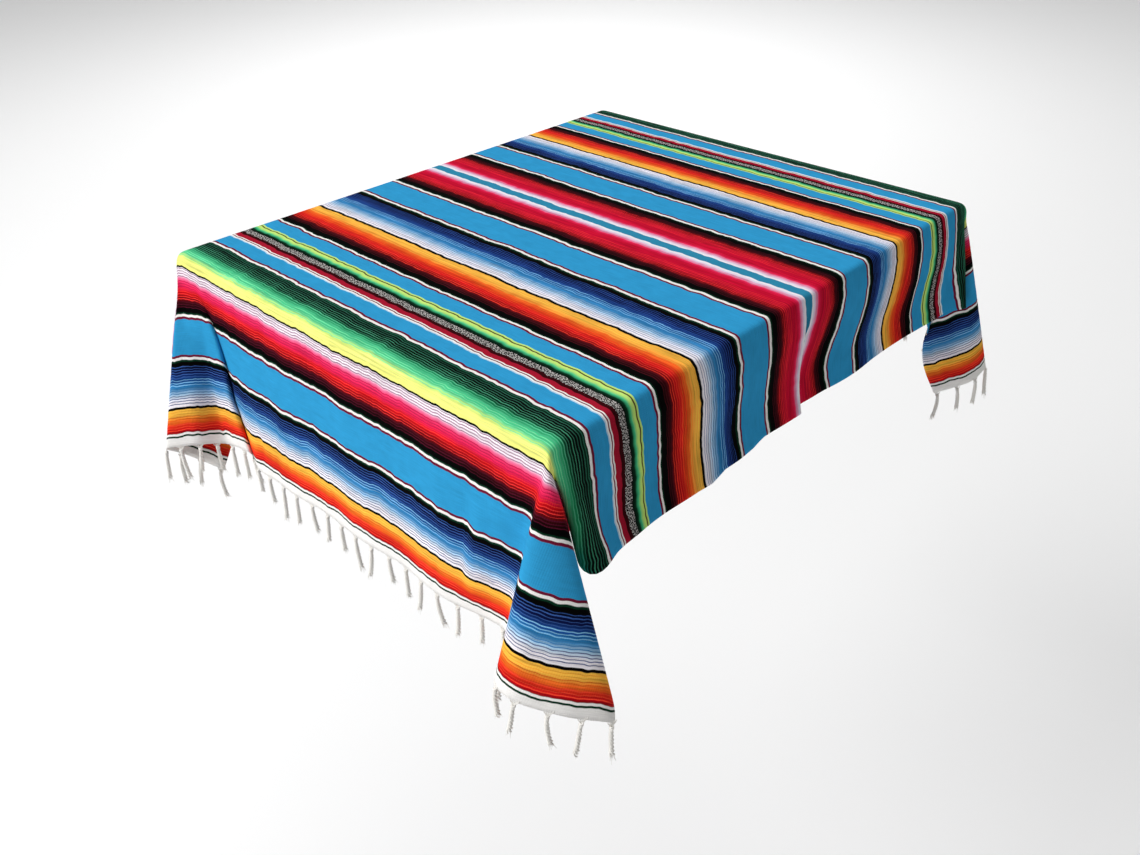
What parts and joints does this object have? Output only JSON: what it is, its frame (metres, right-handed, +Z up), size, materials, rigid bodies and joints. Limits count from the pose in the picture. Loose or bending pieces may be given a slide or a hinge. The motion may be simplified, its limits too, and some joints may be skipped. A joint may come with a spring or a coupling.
{
  "type": "draped blanket",
  "caption": "Striped serape blanket draped as over a rectangular table that is not there, with folded corners and a knotted fringe along both ends.",
  "frame": {"origin": "middle of the underside of the flat top, where a table top holds the blanket", "axes": "+X along the blanket's length, from the near fringe to the far one; +Y across it; +Z up"},
  "size_m": [1.5128, 1.2684, 0.5002],
  "materials": {
    "woven_cloth": "matte weft-faced weave, light blue ground with bands that shade from dark to pale",
    "white_yarn": "soft twisted yarn"
  },
  "bodies": {
    "root": {"blanket_cloth": "woven_cloth", "near_fringe": "white_yarn", "far_fringe": "white_yarn"}
  },
  "joints": []
}
